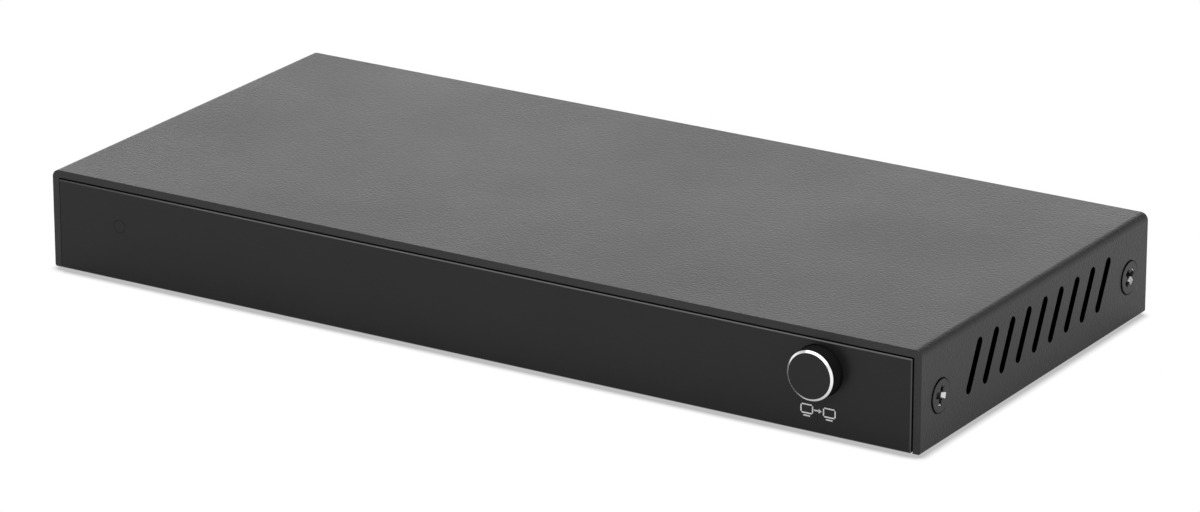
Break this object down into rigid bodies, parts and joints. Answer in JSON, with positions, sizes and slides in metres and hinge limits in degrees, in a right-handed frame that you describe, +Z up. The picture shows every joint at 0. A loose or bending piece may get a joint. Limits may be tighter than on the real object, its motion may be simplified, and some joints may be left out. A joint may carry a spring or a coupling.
{
  "type": "hdmi splitter",
  "caption": "Slim black metal video splitter box with a raised front panel, a sprung push button, vented screwed sides and a rear row of video sockets beside a power inlet.",
  "frame": {"origin": "on the surface the feet stand on, under the middle of the overall width and depth", "axes": "+Z up, +X to the right as seen from the front, front panel and button towards -Y, sockets towards +Y"},
  "size_m": [0.1524, 0.0732, 0.0162],
  "materials": {
    "coat": "fine-textured black powder coat",
    "panel": "smooth satin black",
    "button": "black anodised with a bright cut chamfer",
    "black_screw": "black oxide",
    "rubber": "matt",
    "tape": "foam tape",
    "film": "clear film",
    "board": "green solder mask",
    "brass": "turned",
    "zinc_steel": "zinc plated",
    "shell_steel": "nickel plated",
    "insulator": "moulded black",
    "gold": "gold flash",
    "stem": "moulded ivory",
    "window": "smoked",
    "lamp": "water clear",
    "chip": "moulded epoxy",
    "pad": "soft silicone",
    "heat_sink": "extruded",
    "ferrite": "moulded ferrite",
    "can": "drawn can",
    "ceramic": "fired ceramic"
  },
  "bodies": {
    "case": {"cover": "coat", "base_tray": "coat", "front_panel": "panel", "panel_tape": "tape", "cover_screws": "black_screw", "rubber_feet": "rubber", "insulating_film": "film", "circuit_board": "board", "board_standoffs": "brass", "board_screws": "zinc_steel", "input_shell": "shell_steel", "output_1_shell": "shell_steel", "output_2_shell": "shell_steel", "output_3_shell": "shell_steel", "output_4_shell": "shell_steel", "input_tongue": "insulator", "output_1_tongue": "insulator", "output_2_tongue": "insulator", "output_3_tongue": "insulator", "output_4_tongue": "insulator", "input_contacts": "gold", "output_1_contacts": "gold", "output_2_contacts": "gold", "output_3_contacts": "gold", "output_4_contacts": "gold", "power_jack_housing": "insulator", "power_jack_pin": "shell_steel", "power_jack_spring": "shell_steel", "switch_body": "insulator", "switch_dome": "shell_steel", "switch_bracket": "zinc_steel", "status_window": "window", "status_led": "lamp", "led_holder": "insulator", "splitter_chip": "chip", "thermal_pad": "pad", "heat_sink": "heat_sink", "scaler_chips": "chip", "controller_chip": "chip", "crystal": "shell_steel", "voltage_regulator": "chip", "power_inductors": "ferrite", "bulk_capacitors": "can", "protection_arrays": "chip", "bypass_capacitors": "ceramic"},
    "button": {"button_cap": "button", "switch_stem": "stem"}
  },
  "joints": [
    {"name": "button_press", "type": "slide", "parent": "case", "child": "button", "axis": [0, 1, 0], "range_m": [0, 0.00035], "stiffness_N_per_m": 1500}
  ]
}
